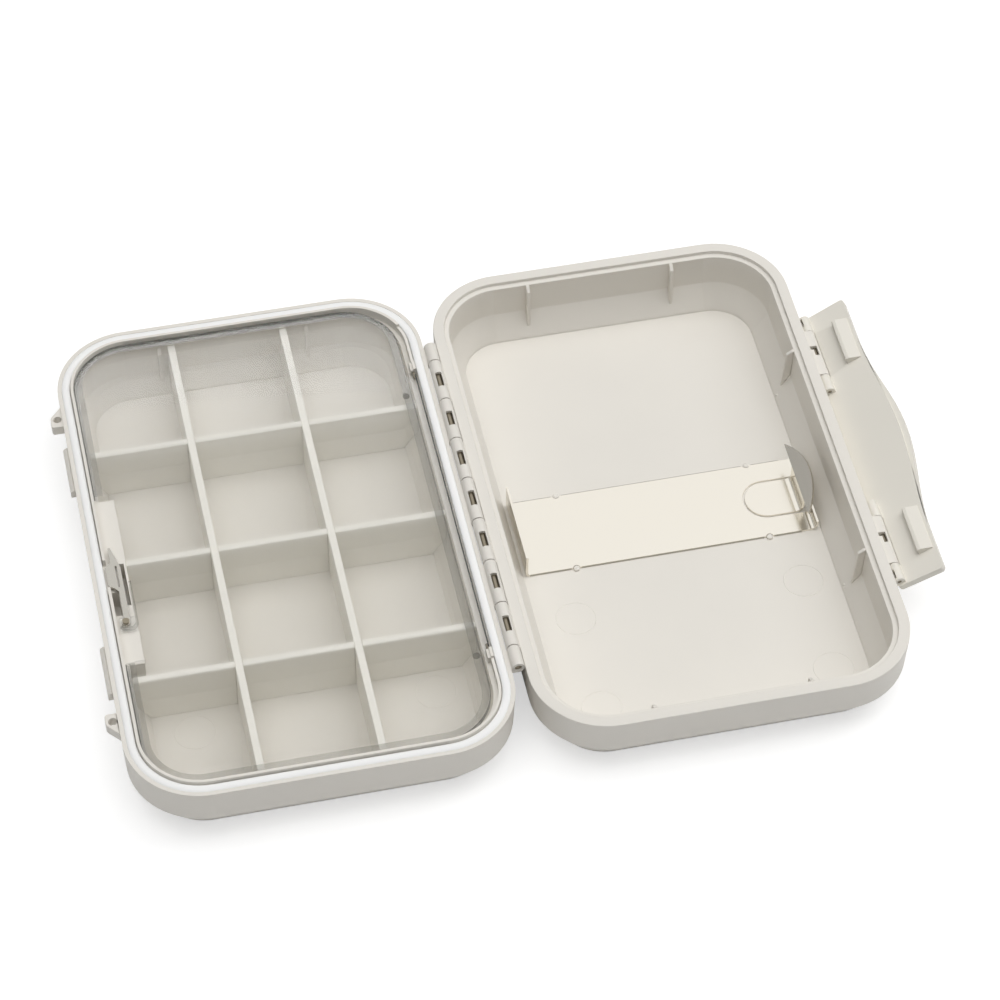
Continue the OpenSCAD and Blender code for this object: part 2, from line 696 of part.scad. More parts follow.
// Plan of the bow: one smooth swell of height h beyond the straight edge
module bow_outline(h) {
    polygon(concat([[flap_reach - 1, -bow_l / 2]],
        [for (i = [0 : 24]) [flap_reach + h * (1 - cos(15 * i)) / 2, bow_l * (i / 24 - 0.5)]],
        [[flap_reach - 1, bow_l / 2]]));
}

// Hook: a steep face towards the axis and a ramp towards the finger edge
module hook_section() {
    polygon([[hook_u1, -face_drop - 0.1], [hook_u1, hook_h - face_drop - 0.3],
        [hook_u1 + 0.3, hook_h - face_drop], [hook_u1 + 1.1, hook_h - face_drop],
        [hook_u1 + hook_w, 0.15 * hook_h - face_drop], [hook_u1 + hook_w, -face_drop - 0.1]]);
}

// Steel sheet with one end bent up and a U-shaped opening for the release tab
module clip_plate() {
    color("#C9C6BC") translate([0, clip_y, clip_z]) difference() {
        rotate([90, 0, 0]) translate([0, 0, -clip_w / 2]) linear_extrude(clip_w) clip_profile();
        translate([clip_x1 - tongue_l, 0, -1]) tongue_opening(clip_t + 2);
        translate([clip_x1 - tab_bend_r - 1, -tongue_w / 2 - tongue_gap, -1])
            cube([tab_bend_r + 4, tongue_w + 2 * tongue_gap, prong_h + 4]);
        for (x = clip_notch_x(), s = [-1, 1]) translate([x, s * (clip_w / 2 + 0.2), -1])
            cylinder(r = stud_r + 0.15, h = clip_t + 2);
    }
}

// Side view of the bent sheet: one outline less the same outline one sheet in
module clip_profile() {
    difference() {
        tray_outline(clip_x0, clip_x1, 0, bend_r, tab_bend_r);
        tray_outline(clip_x0 + clip_t, clip_x1 - clip_t, clip_t, bend_r - clip_t, tab_bend_r - clip_t);
        translate([clip_x1 - tab_bend_r, prong_h]) square([tab_bend_r + 2, clip_lip_h]);
    }
}

// Upright-sided outline with its lower corners rounded by r1 on the left and r2 on the right
module tray_outline(x1, x2, z, r1, r2) {
    top = clip_lip_h;
    translate([x1 + r1, z]) square([x2 - x1 - r1 - r2, top - z]);
    translate([x1, z + r1]) square([r1 + 1, top - z - r1]);
    translate([x2 - r2 - 1, z + r2]) square([r2 + 1, top - z - r2]);
    translate([x1 + r1, z + r1]) circle(r1);
    translate([x2 - r2, z + r2]) circle(r2);
}

module tongue_opening(h) {
    w = tongue_w + 2 * tongue_gap;
    linear_extrude(h) {
        translate([w / 2 - tongue_gap, 0]) circle(w / 2);
        translate([w / 2 - tongue_gap, -w / 2]) square([tongue_l, w]);
    }
}

function clip_notch_x() = [clip_x0 + stud_x1, clip_x1 - stud_x2];

// Moulded studs on the lid panel that locate the clip at its edge notches
module clip_retainers() {
    color("#E2DFD4") for (x = clip_notch_x(), s = [-1, 1])
        translate([x, clip_y + s * (clip_w / 2 + 0.2), clip_z]) {
            cylinder(r = stud_r, h = clip_t);
            translate([0, 0, clip_t]) cylinder(r1 = stud_r, r2 = stud_r - 0.3, h = 0.2);
        }
}

// Release tab: a round-ended tongue in the opening, a bent riser and a D-shaped finger tab
module clip_release_tab() {
    x0 = clip_x1 - tongue_l;
    x1 = clip_x1 - tab_in;
    color("#C9C6BC") translate([0, clip_y, clip_z + 0.05]) {
        intersection() {
            translate([0, tongue_w / 2, 0]) rotate([90, 0, 0]) linear_extrude(tongue_w) difference() {
                tab_outline(x0, x1, 0);
                tab_outline(x0 - 1, x1, clip_t);
            }
            linear_extrude(tab_h + clip_t) {
                translate([x0 + tongue_w / 2, 0]) circle(tongue_w / 2);
                translate([x0 + tongue_w / 2, -tongue_w / 2]) square([tongue_l, tongue_w]);
            }
        }
        translate([x1 - clip_t, 0, tab_h]) rotate([0, -tab_tilt, 0]) linear_extrude(clip_t) finger_tab();
    }
}

// D-shaped plan of the finger tab, its straight edge on x = 0
module finger_tab() {
    bulge_r = (clip_w * clip_w / 4 + tab_bulge * tab_bulge) / (2 * tab_bulge);
    intersection() {
        translate([tab_bulge - bulge_r, 0]) circle(bulge_r, $fn = 96);
        translate([0, -clip_w / 2]) square([tab_bulge, clip_w]);
    }
}

// Space inside the bend of the tongue and riser, moved in by t on its lower and outer side
module tab_outline(x0, x1, t) {
    r = tab_bend_r - t;
    top = tab_h + clip_t / 2;
    translate([x0, t]) square([x1 - x0 - tab_bend_r, top - t]);
    translate([x0, tab_bend_r]) square([x1 - t - x0, top - tab_bend_r]);
    translate([x1 - tab_bend_r, tab_bend_r]) circle(r);
}

base_shell();
long_dividers();
cross_dividers();
lanyard_lug_far();
lanyard_lug_near();
latch_strikes();
base_knuckles();
rim_seal();
main_hinge_pin();
inner_lid();
inner_lid_pins();
inner_lid_catch();
catch_rivet();
lid_shell();
lid_ribs();
lid_knuckles();
latch_knuckles();
latch_pin_far();
latch_pin_near();
latch_flap();
clip_plate();
clip_retainers();
clip_release_tab();
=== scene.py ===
"""Dresses the fly box: moulded shells, silicone seal, smoke-clear inner lid, steel clip and catch."""

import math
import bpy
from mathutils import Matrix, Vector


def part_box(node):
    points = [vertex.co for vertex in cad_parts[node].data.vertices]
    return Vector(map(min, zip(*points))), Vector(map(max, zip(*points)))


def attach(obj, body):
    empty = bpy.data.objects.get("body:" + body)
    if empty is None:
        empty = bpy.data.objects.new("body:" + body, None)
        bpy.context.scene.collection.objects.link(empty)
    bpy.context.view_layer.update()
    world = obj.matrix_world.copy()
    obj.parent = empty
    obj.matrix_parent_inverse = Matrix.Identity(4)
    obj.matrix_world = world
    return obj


bl_info = {
    "name": "Fly box",
    "version": (1, 0, 0),
    "blender": (4, 5, 0),
    "location": "3D View > Sidebar > Fly Box",
    "description": "Finishes a waterproof fly box that lies open, and sets up its stage",
    "category": "Add Mesh",
}

import bmesh
import bpy
from bpy.props import FloatProperty, FloatVectorProperty, PointerProperty, StringProperty
from mathutils import Matrix, Vector

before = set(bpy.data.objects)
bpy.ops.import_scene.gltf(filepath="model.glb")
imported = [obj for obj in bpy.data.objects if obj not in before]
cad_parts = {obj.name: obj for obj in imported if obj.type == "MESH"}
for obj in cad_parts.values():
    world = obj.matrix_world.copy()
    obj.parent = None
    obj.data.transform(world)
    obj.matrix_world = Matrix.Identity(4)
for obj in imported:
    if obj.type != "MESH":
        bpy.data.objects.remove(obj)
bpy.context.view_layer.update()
MM = 0.001

CLEAR_LOW, CLEAR_HIGH = (Vector(corner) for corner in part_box("inner_lid"))
CLIP_LOW, CLIP_HIGH = (Vector(corner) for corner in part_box("clip_plate"))
CLEAR_Z = CLEAR_HIGH.z - 0.4 * MM  # top of the clear lid's margin, under the top of its hinge barrel
CLEAR_SIDE_X = 43.5 * MM  # the margin ends here, short of the barrel and clear of the pin bosses
PANEL_Z = 1.8 * MM  # top of the flat panel in both halves
WHITE = (1.0, 1.0, 1.0, 1.0)


class FinishSettings(bpy.types.PropertyGroup):
    """Colours as sRGB hex values, the mouldings' texture and the radii of their edges."""

    shell_colour: StringProperty(name="Body colour", description="Warm off-white of both halves",
                                 default="#E3DFD7")
    # painted light: the dividers are the body's own plastic, drawn lighter to make up for light the clear
    # lid keeps out
    divider_lit_colour: StringProperty(name="Dividers", description="Compartment walls", default="#EDEAE1")
    flap_colour: StringProperty(name="Flap", description="Latch flap", default="#E6E2D8")
    seal_colour: StringProperty(name="Seal", description="Near-white silicone ring", default="#F4F4F3")
    clear_colour: StringProperty(name="Clear lid", description="Smoke tint of the inner lid",
                                 default="#F0F1F0")
    # painted shade: the margin's dark tint darkens the walls seen through it, on a real thicker margin
    margin_shade_colour: StringProperty(name="Clear margin", description="Its thicker margin", default="#96958F")
    # painted shade: the dark colour of the band round the clear lid's edge and of its two domes
    edge_shade_colour: StringProperty(name="Clear edge", description="Its side face", default="#4C4E4C")
    steel_colour: StringProperty(name="Steel", description="Polished spring sheet", default="#E6E1D6")
    blade_colour: StringProperty(name="Blade", description="Catch of the inner lid", default="#B9B6AE")
    wire_colour: StringProperty(name="Wire", description="Hinge pins and rivet", default="#8E8676")
    # partly the dull cut edge of the clip, partly painted shadow and painted dark reflection beside the
    # plate
    sheared_edge_shadow_colour: StringProperty(name="Sheared edge", description="Cut edges of the clip",
                                   default="#B6B2A8")
    texture: FloatProperty(name="Mould texture", description="Grain of the moulded surface",
                           default=0.7 * MM, min=0.1 * MM, max=3.0 * MM, unit="LENGTH")
    shell_edge: FloatProperty(name="Body edges", description="Radius of the moulded edges",
                              default=0.2 * MM, unit="LENGTH")
    flap_edge: FloatProperty(name="Flap edges", description="Radius of the latch flap's edges",
                             default=0.35 * MM, unit="LENGTH")
    divider_edge: FloatProperty(name="Divider edges", description="Radius along the compartment walls",
                                default=0.6 * MM, unit="LENGTH")


class MarkSettings(bpy.types.PropertyGroup):
    """Small marks that the mould leaves on the panels."""

    ejector_radius: FloatProperty(name="Ejector mark", description="Radius of a round ejector mark",
                                  default=5.4 * MM, unit="LENGTH")
    ejector_height: FloatProperty(name="Mark height", description="Height of its rim above the panel",
                                  default=0.1 * MM, unit="LENGTH")


class StageSettings(bpy.types.PropertyGroup):
    """Camera and light."""

    camera_place: FloatVectorProperty(name="Camera place", description="Where the camera stands",
                                      default=(-0.0763, -0.6018, 0.7519), size=3, subtype="TRANSLATION")
    camera_turn: FloatVectorProperty(name="Camera turn", description="How the camera is turned",
                                     default=(0.69948, -0.00728, -0.21291), size=3, subtype="EULER")
    lens_mm: FloatProperty(name="Lens", description="Focal length on a 36 mm sensor", default=130.57,
                           unit="CAMERA")
    sky_level: FloatProperty(name="Sky level", description="Even light from the sides", default=0.18)
    zenith_level: FloatProperty(name="Zenith level", description="Soft light from straight above",
                                default=2.9)
    key_level: FloatProperty(name="Key level", description="Soft lamp high on the right", default=4.5,
                             unit="POWER")


def mm(*values):
    """Millimetres as a tuple of metres."""
    return tuple(value * MM for value in values)


def linear(colour_hex):
    """An sRGB hex value as a linear RGBA colour."""
    channels = [int(colour_hex[i:i + 2], 16) / 255 for i in (1, 3, 5)]
    return [c / 12.92 if c <= 0.04045 else ((c + 0.055) / 1.055) ** 2.4 for c in channels] + [1.0]


def add_node(tree, kind, settings=None, **inputs):
    """Adds a node, sets its properties, and sets or links its inputs.

    An input is given by its name, or as i0, i1 and so on where several inputs share a name.
    """
    node = tree.nodes.new(kind)
    for name, value in (settings or {}).items():
        setattr(node, name, value)
    for name, value in inputs.items():
        key = int(name[1:]) if name[0] == "i" and name[1:].isdigit() else name.replace("_", " ")
        socket = node.inputs[key]
        if isinstance(value, bpy.types.NodeSocket):
            tree.links.new(value, socket)
        else:
            socket.default_value = value
    return node


def new_material(name):
    """An empty node material with its output; returns material, tree and output."""
    material = bpy.data.materials.new(name)
    material.use_nodes = True
    tree = material.node_tree
    tree.nodes.clear()
    return material, tree, tree.nodes.new("ShaderNodeOutputMaterial")


def finish_material(tree, output, shader):
    """Links the shader to the output."""
    tree.links.new(shader.outputs[0], output.inputs["Surface"])


def moulded_plastic(name, colour_hex, texture, roughness=0.42):
    """Injection-moulded ABS: satin, from a fine spark-eroded texture, and faintly cloudy in its colour.

    The clouds are some 22 mm across. The real texture is about 0.05 mm, and is drawn as coarse as it
    needs to be to show.
    """
    material, tree, output = new_material(name)
    place = add_node(tree, "ShaderNodeTexCoord").outputs["Object"]
    cloud = add_node(tree, "ShaderNodeTexNoise", Vector=place, Scale=45.0, Detail=3.0, Roughness=0.55)
    colour = linear(colour_hex)
    low, high = ([min(c * shade, 1.0) for c in colour[:3]] + [1.0] for shade in (0.975, 1.015))
    tone = add_node(tree, "ShaderNodeMix", {"data_type": "RGBA"}, i0=cloud.outputs["Fac"], i6=low, i7=high)
    grain = add_node(tree, "ShaderNodeTexNoise", Vector=place, Scale=1.0 / texture, Detail=2.0,
                     Roughness=0.5)
    sheen = add_node(tree, "ShaderNodeMapRange", Value=grain.outputs["Fac"], To_Min=roughness - 0.05,
                     To_Max=roughness + 0.06)
    bump = add_node(tree, "ShaderNodeBump", Strength=0.18, Distance=0.02 * MM, Height=grain.outputs["Fac"])
    shader = add_node(tree, "ShaderNodeBsdfPrincipled", Base_Color=tone.outputs[2],
                      Roughness=sheen.outputs[0], Normal=bump.outputs["Normal"], IOR=1.5)
    finish_material(tree, output, shader)
    return material


def soft_silicone(colour_hex):
    """Moulded silicone rubber: near white and matt, with a faint bloom in patches some 3 mm across."""
    material, tree, output = new_material("silicone_rubber_moulded")
    place = add_node(tree, "ShaderNodeTexCoord").outputs["Object"]
    bloom = add_node(tree, "ShaderNodeTexNoise", Vector=place, Scale=350.0, Detail=2.0)
    sheen = add_node(tree, "ShaderNodeMapRange", Value=bloom.outputs["Fac"], To_Min=0.5, To_Max=0.62)
    bump = add_node(tree, "ShaderNodeBump", Strength=0.12, Distance=0.02 * MM, Height=bloom.outputs["Fac"])
    shader = add_node(tree, "ShaderNodeBsdfPrincipled", Base_Color=linear(colour_hex),
                      Roughness=sheen.outputs[0], Normal=bump.outputs["Normal"], IOR=1.41)
    finish_material(tree, output, shader)
    return material


def smoke_clear(name, colour_hex, alpha):
    """Moulded clear polycarbonate: polished, its reflections bent a little by waves some 36 mm long.

    Most of the light passes straight through by the constant alpha, so the compartments stay lit.
    """
    material, tree, output = new_material(name)
    place = add_node(tree, "ShaderNodeTexCoord").outputs["Object"]
    wave = add_node(tree, "ShaderNodeTexNoise", Vector=place, Scale=28.0, Detail=1.0)
    bump = add_node(tree, "ShaderNodeBump", Strength=0.05, Distance=0.2 * MM, Height=wave.outputs["Fac"])
    shader = add_node(tree, "ShaderNodeBsdfPrincipled", Base_Color=linear(colour_hex), Roughness=0.06,
                      IOR=1.5, Transmission_Weight=1.0, Alpha=alpha, Normal=bump.outputs["Normal"])
    finish_material(tree, output, shader)
    return material


def polished_sheet(name, colour_hex, roughness, along):
    """Rolled or drawn stainless steel: bright, with fine lines along x (0) or y (1).

    The lines are some 25 mm long. They are drawn 0.4 mm apart, coarser than real ones, so that they show.
    """
    material, tree, output = new_material(name)
    place = add_node(tree, "ShaderNodeTexCoord").outputs["Object"]
    squeeze = [1.0 / (0.4 * MM)] * 3
    squeeze[along] = 1.0 / (25.0 * MM)
    lines = add_node(tree, "ShaderNodeMapping", Vector=place, Scale=squeeze)
    rolled = add_node(tree, "ShaderNodeTexNoise", Vector=lines.outputs[0], Scale=1.0, Detail=2.0)
    sheen = add_node(tree, "ShaderNodeMapRange", Value=rolled.outputs["Fac"], To_Min=roughness - 0.04,
                     To_Max=roughness + 0.05)
    bump = add_node(tree, "ShaderNodeBump", Strength=0.06, Distance=0.01 * MM, Height=rolled.outputs["Fac"])
    shader = add_node(tree, "ShaderNodeBsdfPrincipled", Base_Color=linear(colour_hex), Metallic=1.0,
                      Roughness=sheen.outputs[0], Normal=bump.outputs["Normal"])
    finish_material(tree, output, shader)
    return material


def weld(mesh_object):
    """Joins the loose triangles of a CAD node."""
    mesh_object.modifiers.new("join", "WELD").merge_threshold = 0.001 * MM


def soften(nodes, radius, segments=2):
    """Rounds the sharp edges of CAD nodes, as the mould leaves them."""
    for name in nodes:
        mesh_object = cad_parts[name]
        weld(mesh_object)
        flat = mesh_object.modifiers.new("flat", "DECIMATE")
        flat.decimate_type = "DISSOLVE"
        flat.angle_limit = math.radians(0.2)
        edge = mesh_object.modifiers.new("edge", "BEVEL")
        edge.width = radius
        edge.segments = segments
        edge.limit_method = "ANGLE"
        edge.angle_limit = math.radians(25)
        edge.use_clamp_overlap = True


def dress(nodes, material):
    """Gives CAD nodes a material in every slot."""
    for name in nodes:
        mesh_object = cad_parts[name]
        if not mesh_object.material_slots:
            mesh_object.data.materials.append(material)
        for slot in mesh_object.material_slots:
            slot.material = material


def new_piece(name, bm, material, body):
    """A finished piece from a bmesh in the frame's own metres, riding on a body."""
    mesh = bpy.data.meshes.new(name)
    bmesh.ops.recalc_face_normals(bm, faces=bm.faces)
    bm.to_mesh(mesh)
    bm.free()
    piece = bpy.data.objects.new(name, mesh)
    bpy.context.scene.collection.objects.link(piece)
    mesh.materials.append(material)
    mesh.shade_smooth()
    mesh.set_sharp_from_angle(angle=math.radians(35))
    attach(piece, body)


def join(bm, part):
    """Moves all of one bmesh into another."""
    mesh = bpy.data.meshes.new("part")
    part.to_mesh(mesh)
    part.free()
    bm.from_mesh(mesh)
    bpy.data.meshes.remove(mesh)


def lathe(bm, outline, centre, steps=64):
    """Adds a shape turned from (radius, height) points about an upright axis through centre."""
    part = bmesh.new()
    verts = [part.verts.new((centre[0] + r, centre[1], centre[2] + z)) for r, z in outline]
    edges = [part.edges.new(pair) for pair in zip(verts, verts[1:])]
    bmesh.ops.spin(part, geom=verts + edges, cent=centre, axis=(0, 0, 1), angle=math.tau, steps=steps,
                   use_merge=True)
    bmesh.ops.remove_doubles(part, verts=part.verts, dist=0.001 * MM)
    join(bm, part)


def draw_out(bm, faces, shift):
    """Extrudes flat faces into a solid."""
    grown = bmesh.ops.extrude_face_region(bm, geom=faces)["geom"]
    verts = [item for item in grown if isinstance(item, bmesh.types.BMVert)]
    bmesh.ops.translate(bm, vec=shift, verts=verts)


def add_bar(bm, corners, shift):
    """Adds a bar from the corners of its end face and the shift to its other end."""
    draw_out(bm, [bm.faces.new([bm.verts.new(corner) for corner in corners])], shift)


def ribbon(outer, inner, low, high):
    """A band between two rows of plan points, from one height to another."""
    bm = bmesh.new()
    edges = []
    for row in (outer, inner):
        verts = [bm.verts.new((x, y, low)) for x, y in row]
        edges += [bm.edges.new(pair) for pair in zip(verts, verts[1:])]
    draw_out(bm, bmesh.ops.bridge_loops(bm, edges=edges)["faces"], (0.0, 0.0, high - low))
    return bm


def open_outline(inset, radius, notch, steps=14):
    """Points round the clear lid from one end of its finger notch to the other, the long way round."""
    low = Vector((CLEAR_LOW.x + inset, CLEAR_LOW.y + inset))
    high = Vector((CLEAR_SIDE_X - inset, CLEAR_HIGH.y - inset))
    points = [(low.x, notch[0])]
    for x, y, start in ((low.x + radius, low.y + radius, 180), (high.x - radius, low.y + radius, 270),
                        (high.x - radius, high.y - radius, 0), (low.x + radius, high.y - radius, 90)):
        for i in range(steps + 1):
            turn = math.radians(start + 90 * i / steps)
            points.append((x + radius * math.cos(turn), y + radius * math.sin(turn)))
    return points + [(low.x, notch[1])]


class FLYBOX_OT_plastic(bpy.types.Operator):
    """Finish the moulded shells, dividers, lugs, ribs, knuckles and flap"""

    bl_idname = "flybox.plastic"
    bl_label = "Moulded plastic"

    body_nodes = ("base_shell", "lid_shell", "lanyard_lug_far", "lanyard_lug_near", "latch_strikes",
                  "base_knuckles", "lid_knuckles", "latch_knuckles", "lid_ribs")
    divider_nodes = ("long_dividers", "cross_dividers")

    def execute(self, context):
        finish = context.scene.flybox_finish
        shell = moulded_plastic("abs_moulded_off_white", finish.shell_colour, finish.texture)
        # the dividers' lighter colour is painted light on the compartments under the clear lid
        divider = moulded_plastic("abs_moulded_dividers_painted_light", finish.divider_lit_colour, finish.texture)
        flap = moulded_plastic("abs_moulded_flap", finish.flap_colour, finish.texture, roughness=0.38)
        dress(self.body_nodes + ("clip_retainers",), shell)
        dress(self.divider_nodes, divider)
        dress(("latch_flap",), flap)
        soften(self.body_nodes, finish.shell_edge)
        soften(("latch_flap",), finish.flap_edge)
        soften(self.divider_nodes, finish.divider_edge, segments=3)
        return {"FINISHED"}


class FLYBOX_OT_seal(bpy.types.Operator):
    """Finish the silicone ring in the base rim"""

    bl_idname = "flybox.seal"
    bl_label = "Rim seal"

    def execute(self, context):
        dress(["rim_seal"], soft_silicone(context.scene.flybox_finish.seal_colour))
        return {"FINISHED"}


class FLYBOX_OT_clear_lid(bpy.types.Operator):
    """Finish the smoke-clear inner lid"""

    bl_idname = "flybox.clear_lid"
    bl_label = "Inner lid"

    notch = mm(-34.4, 22.4)  # y of the ends of the finger notch
    margin_outlines = (mm(0.06, 15.2), mm(2.14, 12.1))  # inset and corner radius, outer then inner
    margin_z = mm(0.01, 0.12)  # above the lid's own margin
    side_outlines = (mm(-0.26, 15.5), mm(-0.02, 15.26))  # the same for the side face
    side_rise = 0.1 * MM  # from the lid's underside to the foot of the side face
    hinge_line_mm = ((45.82, 19.5), (45.82, 19.87), (46.16, 19.78), (46.2, 19.5))  # x and z of its section
    hinge_line_end = 47.6 * MM
    boss_centres_mm = ((42.3, -50.1), (42.0, 40.4))
    boss_outline_mm = ((1.0, 0.0), (0.9, 0.24), (0.75, 0.28), (0.6, 0.04), (0.3, 0.06), (0.0, 0.08))
    guard_centre_mm = (-42.75, -20.8)  # of its bend round the rivet
    guard_arm_mm = (-7.6, -20.4)  # y of the ends of its straight part
    guard_radii_mm = (2.6, 1.9)
    guard_turn = math.radians(-150)  # how far the bend goes round
    guard_z = mm(18.6, 19.55)

    def execute(self, context):
        finish = context.scene.flybox_finish
        dress(["inner_lid"], smoke_clear("polycarbonate_clear_polished", finish.clear_colour, alpha=0.2))
        # the margin and the catch guard get a dark tint that paints shade on what lies under them
        rim = smoke_clear("polycarbonate_clear_margin_shade", finish.margin_shade_colour, alpha=0.32)
        # the edge band and the domes are dark pieces that paint the shadow round the clear lid
        edge = smoke_clear("polycarbonate_clear_edge_shade", finish.edge_shade_colour, alpha=0.62)
        # painted shadow: a near-opaque dark bar in the gap along the hinge barrel
        hinge_shadow_material = smoke_clear("polycarbonate_clear_hinge_shadow_line", finish.edge_shade_colour, alpha=0.9)
        for name, shape, material in (
                ("inner_lid_margin", self.margin(), rim),
                ("inner_lid_edge_shade", self.side(), edge),
                ("inner_lid_hinge_shadow_line", self.hinge_shadow_line(), hinge_shadow_material),
                ("inner_lid_bosses", self.bosses(), edge),
                ("inner_lid_catch_guard", self.guard(), rim)):
            new_piece(name, shape, material, "clear_lid")
        return {"FINISHED"}

    def margin(self):
        """The thicker margin round the raised field, tinted darker than the lid to paint the shade on the
        walls seen through it.
        """
        outer, inner = (open_outline(*outline, self.notch) for outline in self.margin_outlines)
        return ribbon(outer, inner, *(CLEAR_Z + z for z in self.margin_z))

    def side(self):
        """The side face: a dark band just outside the lid's edge, a painted shadow line in the gap round
        the clear lid.
        """
        outer, inner = (open_outline(*outline, self.notch) for outline in self.side_outlines)
        return ribbon(outer, inner, CLEAR_LOW.z + self.side_rise, CLEAR_Z)

    def hinge_shadow_line(self):
        """A painted shadow: the dark line in the gap between the round hinge edge and the base rim."""
        bm = bmesh.new()
        corners = [(x * MM, -self.hinge_line_end, z * MM) for x, z in self.hinge_line_mm]
        add_bar(bm, corners, (0.0, 2 * self.hinge_line_end, 0.0))
        return bm

    def guard(self):
        """The curved guard beside the catch's arm and round its rivet, in the margin's dark tint as painted
        shade over the recess.
        """
        x, y = self.guard_centre_mm
        turns = [self.guard_turn * i / 12 for i in range(13)]
        rows = [[mm(x + r, end) for end in self.guard_arm_mm]
                + [mm(x + r * math.cos(turn), y + r * math.sin(turn)) for turn in turns]
                for r in self.guard_radii_mm]
        return ribbon(*rows, *self.guard_z)

    def bosses(self):
        """Two small moulded domes by the hinge side, dark in the edge's material as painted shade round
        them.
        """
        bm = bmesh.new()
        for x, y in self.boss_centres_mm:
            lathe(bm, [mm(*point) for point in self.boss_outline_mm],
                  Vector((x * MM, y * MM, CLEAR_Z + self.margin_z[1])), steps=32)
        return bm


class FLYBOX_OT_metal(bpy.types.Operator):
    """Finish the clip, release tab, catch, rivet and pins"""

    bl_idname = "flybox.metal"
    bl_label = "Steel pieces"

    edge_runs_mm = ((64.6, 75.9), (78.7, 129.0), (131.8, 139.5))  # along x, broken at the clip's notches
    near_width, far_width = mm(0.08, 0.3)  # of the sheared edges on the clip's two sides; the wide far one is a painted shadow gap beside the plate
    foot_z, low_side_z, high_side_z = mm(1.82, 2.36, 2.3)  # the top leans from low y to high y
    turn_room = 0.04 * MM  # round the clear lid's pins, whose facets would rub in the turning barrel

    def execute(self, context):
        finish = context.scene.flybox_finish
        sheet = polished_sheet("stainless_sheet_rolled", finish.steel_colour, roughness=0.2, along=1)
        blade = polished_sheet("stainless_blade_polished", finish.blade_colour, roughness=0.14, along=1)
        wire = polished_sheet("stainless_wire_drawn", finish.wire_colour, roughness=0.3, along=1)
        # the strips beside the clip are partly its sheared edges and partly painted shadow
        sheared = polished_sheet("stainless_sheet_sheared_and_shadow", finish.sheared_edge_shadow_colour, roughness=0.45, along=0)
        dress(["clip_plate", "clip_release_tab"], sheet)
        dress(["inner_lid_catch"], blade)
        dress(["catch_rivet", "inner_lid_pins", "main_hinge_pin", "latch_pin_far", "latch_pin_near"],
              wire)
        new_piece("clip_plate_sheared_edges_and_shadow", self.sheared_edges_and_shadow(), sheared, "lid")
        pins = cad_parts["inner_lid_pins"]
        weld(pins)
        shrink = pins.modifiers.new("turn room", "DISPLACE")
        shrink.strength = -self.turn_room
        shrink.mid_level = 0.0
        return {"FINISHED"}

    def sheared_edges_and_shadow(self):
        """The dull sheared edges along both sides of the clip, drawn darker: a painted dark reflection on
        the near side and a painted shadow gap on the far side.
        """
        bm = bmesh.new()
        near, far = self.near_width, self.far_width
        for start, end in self.edge_runs_mm:
            for y, width in ((CLIP_LOW.y - near, near), (CLIP_HIGH.y, far)):
                corners = [(start * MM, y + dy, z) for dy, z in
                           ((0.0, self.foot_z), (width, self.foot_z), (width, self.high_side_z),
                            (0.0, self.low_side_z))]
                add_bar(bm, corners, ((end - start) * MM, 0.0, 0.0))
        return bm


class FLYBOX_OT_mould_marks(bpy.types.Operator):
    """Add the round ejector marks, the lid's two crease nubs and the low fins in the base"""

    bl_idname = "flybox.mould_marks"
    bl_label = "Mould marks"

    lid_centres_mm = ((73.4, -29.9), (73.4, -59.8), (135.4, -29.9), (135.4, -59.8))
    base_centres_mm = ((-30.5, -46.0), (32.5, -46.0))
    # distance from the mark's radius in millimetres, and share of its height
    ring_outline = ((-0.35, -1.0), (-0.25, 0.6), (-0.1, 1.0), (0.0, 0.6), (0.1, -1.0))
    nub_centres_mm = ((145.2, -34.4, 2.9), (145.2, 34.4, 2.9))
    nub_radius = 0.5 * MM
    fin_places_mm = ((-20.5, 73.9), (20.5, 73.9), (-20.5, -73.9), (20.5, -73.9))  # x, and y of its wall
    fin_outline_mm = ((0.0, 8.0), (1.6, 5.2), (1.2, 15.5), (0.0, 17.0))  # distance from the wall, height
    fin_width = 1.0 * MM

    def execute(self, context):
        marks = context.scene.flybox_marks
        shell = bpy.data.materials["abs_moulded_off_white"]
        for name, shape, body in (
                ("lid_ejector_marks", self.rings(marks, self.lid_centres_mm), "lid"),
                ("base_ejector_marks", self.rings(marks, self.base_centres_mm), "base"),
                ("lid_crease_nubs", self.nubs(), "lid"),
                ("base_wall_fins", self.fins(), "base")):
            new_piece(name, shape, shell, body)
        return {"FINISHED"}

    def rings(self, marks, centres_mm):
        """Low round-topped rings that the ejector pins leave, with their feet in the panel."""
        outline = [(marks.ejector_radius + shift * MM, marks.ejector_height * share)
                   for shift, share in self.ring_outline]
        bm = bmesh.new()
        for x, y in centres_mm:
            lathe(bm, outline, Vector((x * MM, y * MM, PANEL_Z)))
        return bm

    def nubs(self):
        """Two small domes in the crease of the lid's floor."""
        bm = bmesh.new()
        for centre in self.nub_centres_mm:
            bmesh.ops.create_icosphere(bm, subdivisions=3, radius=self.nub_radius,
                                       matrix=Matrix.Translation(mm(*centre)))
        return bm

    def fins(self):
        """Low fins on the end walls of the base, under the clear lid."""
        bm = bmesh.new()
        for x, wall in self.fin_places_mm:
            inward = -math.copysign(1.0, wall)
            corners = [(x * MM - self.fin_width / 2, (wall + inward * y) * MM, z * MM)
                       for y, z in self.fin_outline_mm]
            add_bar(bm, corners, (self.fin_width, 0.0, 0.0))
        return bm


